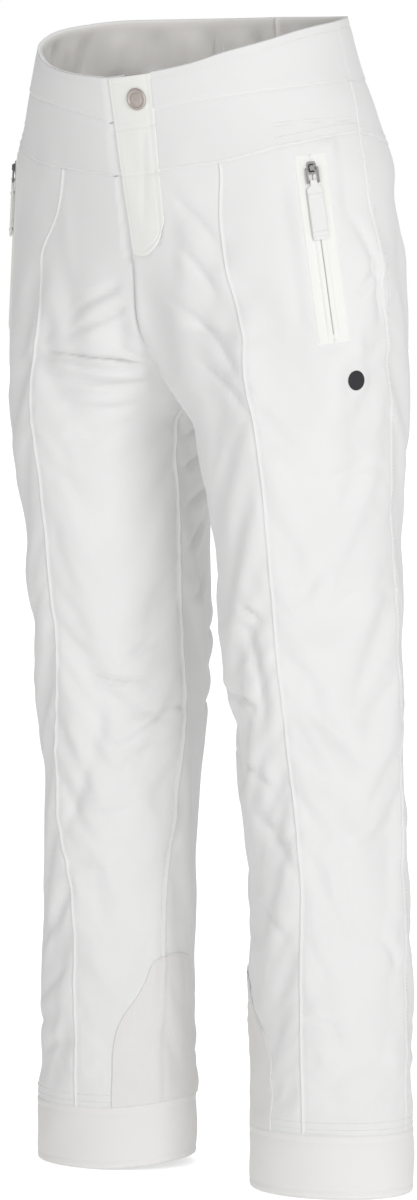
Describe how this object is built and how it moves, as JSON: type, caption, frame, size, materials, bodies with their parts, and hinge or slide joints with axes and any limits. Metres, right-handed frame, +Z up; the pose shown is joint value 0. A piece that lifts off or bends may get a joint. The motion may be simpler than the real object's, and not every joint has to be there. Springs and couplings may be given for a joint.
{
  "type": "ski pants",
  "caption": "Insulated ski pants with panelled legs, snap-and-zip fly, zipped hand pockets with strap pullers, inner gaiters and ankle scuff guards.",
  "frame": {"origin": "middle of the garment's width and depth, level with the bottom of the hems", "axes": "+Z up along the legs, the front of the pants faces -Y, +X is the wearer's left"},
  "size_m": [0.3972, 0.2574, 1.0137],
  "materials": {
    "shell_fabric": "matt stretch twill with a water-repellent face",
    "waist_lining": "soft brushed tricot",
    "lining_fabric": "smooth light taffeta",
    "wadding": "quilted polyester wadding",
    "elastic": "ribbed woven elastic",
    "guard_fabric": "dense abrasion-resistant weave",
    "zip_tape": "woven herringbone tape",
    "zip_coil": "moulded nylon coil",
    "zip_metal": "satin dark nickel plating",
    "webbing": "woven webbing with bar tacks",
    "snap_metal": "satin nickel plating, concentric relief",
    "badge_thread": "dense plain embroidery",
    "label_fabric": "satin woven label, blank"
  },
  "bodies": {
    "garment": {"front_panel_left": "shell_fabric", "front_panel_right": "shell_fabric", "side_panel_left": "shell_fabric", "side_panel_right": "shell_fabric", "back_panel_left": "shell_fabric", "back_panel_right": "shell_fabric", "front_yoke_left": "shell_fabric", "front_yoke_right": "shell_fabric", "back_yoke_left": "shell_fabric", "back_yoke_right": "shell_fabric", "waistband_left": "shell_fabric", "waistband_right": "shell_fabric", "waistband_facing_left": "waist_lining", "waistband_facing_right": "waist_lining", "waist_elastic_left": "elastic", "waist_elastic_right": "elastic", "insulation_left": "wadding", "insulation_right": "wadding", "lining_left": "lining_fabric", "lining_right": "lining_fabric", "pocket_bag_left": "lining_fabric", "pocket_bag_right": "lining_fabric", "hem_cuff_left": "shell_fabric", "hem_cuff_right": "shell_fabric", "gaiter_left": "lining_fabric", "gaiter_right": "lining_fabric", "gaiter_elastic_left": "elastic", "gaiter_elastic_right": "elastic", "scuff_guard_left": "guard_fabric", "scuff_guard_right": "guard_fabric", "fly_panel_left": "shell_fabric", "fly_panel_right": "shell_fabric", "fly_zip_tape_left": "zip_tape", "fly_zip_tape_right": "zip_tape", "pocket_welt_left": "shell_fabric", "pocket_welt_right": "shell_fabric", "pocket_zip_tape_left": "zip_tape", "pocket_zip_tape_right": "zip_tape", "pocket_zip_coil_left": "zip_coil", "pocket_zip_coil_right": "zip_coil", "fly_shield": "shell_fabric", "fly_zip_coil": "zip_coil", "fly_zip_stop": "zip_metal", "waistband_underlap": "shell_fabric", "snap_stud": "snap_metal", "badge": "badge_thread", "care_label": "label_fabric", "hanger_loops": "webbing"},
    "fly_flap": {"fly_flap": "shell_fabric", "snap_cap": "snap_metal", "snap_socket": "snap_metal"},
    "fly_slider": {"fly_zip_slider": "zip_metal"},
    "fly_pull": {"fly_zip_pull": "zip_metal"},
    "pocket_slider_left": {"pocket_slider_left": "zip_metal"},
    "pocket_link_left": {"pocket_pull_link_left": "zip_metal"},
    "pocket_strap_left": {"pocket_puller_strap_left": "webbing"},
    "pocket_slider_right": {"pocket_slider_right": "zip_metal"},
    "pocket_link_right": {"pocket_pull_link_right": "zip_metal"},
    "pocket_strap_right": {"pocket_puller_strap_right": "webbing"}
  },
  "joints": [
    {"name": "fly_flap_hinge", "type": "hinge", "parent": "garment", "child": "fly_flap", "pos_m": [0.04676, -0.10573, 0.83189], "axis": [0, -0.1403, 0.9901], "range_deg": [0, 110]},
    {"name": "fly_zip_slide", "type": "slide", "parent": "garment", "child": "fly_slider", "axis": [0, 0.1502, -0.9887], "range_m": [0, 0.0801]},
    {"name": "fly_pull_hinge", "type": "hinge", "parent": "fly_slider", "child": "fly_pull", "pos_m": [0.02161, -0.11483, 0.90817], "axis": [-0.9951, -0.0973, -0.0148], "range_deg": [0, 3]},
    {"name": "pocket_zip_slide_left", "type": "slide", "parent": "garment", "child": "pocket_slider_left", "axis": [0.119, 0.0669, -0.9906], "range_m": [0, 0.1344]},
    {"name": "pocket_link_hinge_left", "type": "hinge", "parent": "pocket_slider_left", "child": "pocket_link_left", "pos_m": [0.16855, -0.05606, 0.88375], "axis": [-0.6491, -0.7497, -0.1286], "range_deg": [0, 100]},
    {"name": "pocket_strap_hinge_left", "type": "hinge", "parent": "pocket_link_left", "child": "pocket_strap_left", "pos_m": [0.16998, -0.05526, 0.87186], "axis": [-0.6491, -0.7497, -0.1286], "range_deg": [0, 60]},
    {"name": "pocket_zip_slide_right", "type": "slide", "parent": "garment", "child": "pocket_slider_right", "axis": [-0.119, 0.0669, -0.9906], "range_m": [0, 0.1344]},
    {"name": "pocket_link_hinge_right", "type": "hinge", "parent": "pocket_slider_right", "child": "pocket_link_right", "pos_m": [-0.16855, -0.05606, 0.88375], "axis": [-0.6491, 0.7497, 0.1286], "range_deg": [0, 100]},
    {"name": "pocket_strap_hinge_right", "type": "hinge", "parent": "pocket_link_right", "child": "pocket_strap_right", "pos_m": [-0.16998, -0.05526, 0.87186], "axis": [-0.6491, 0.7497, 0.1286], "range_deg": [0, 60]}
  ]
}
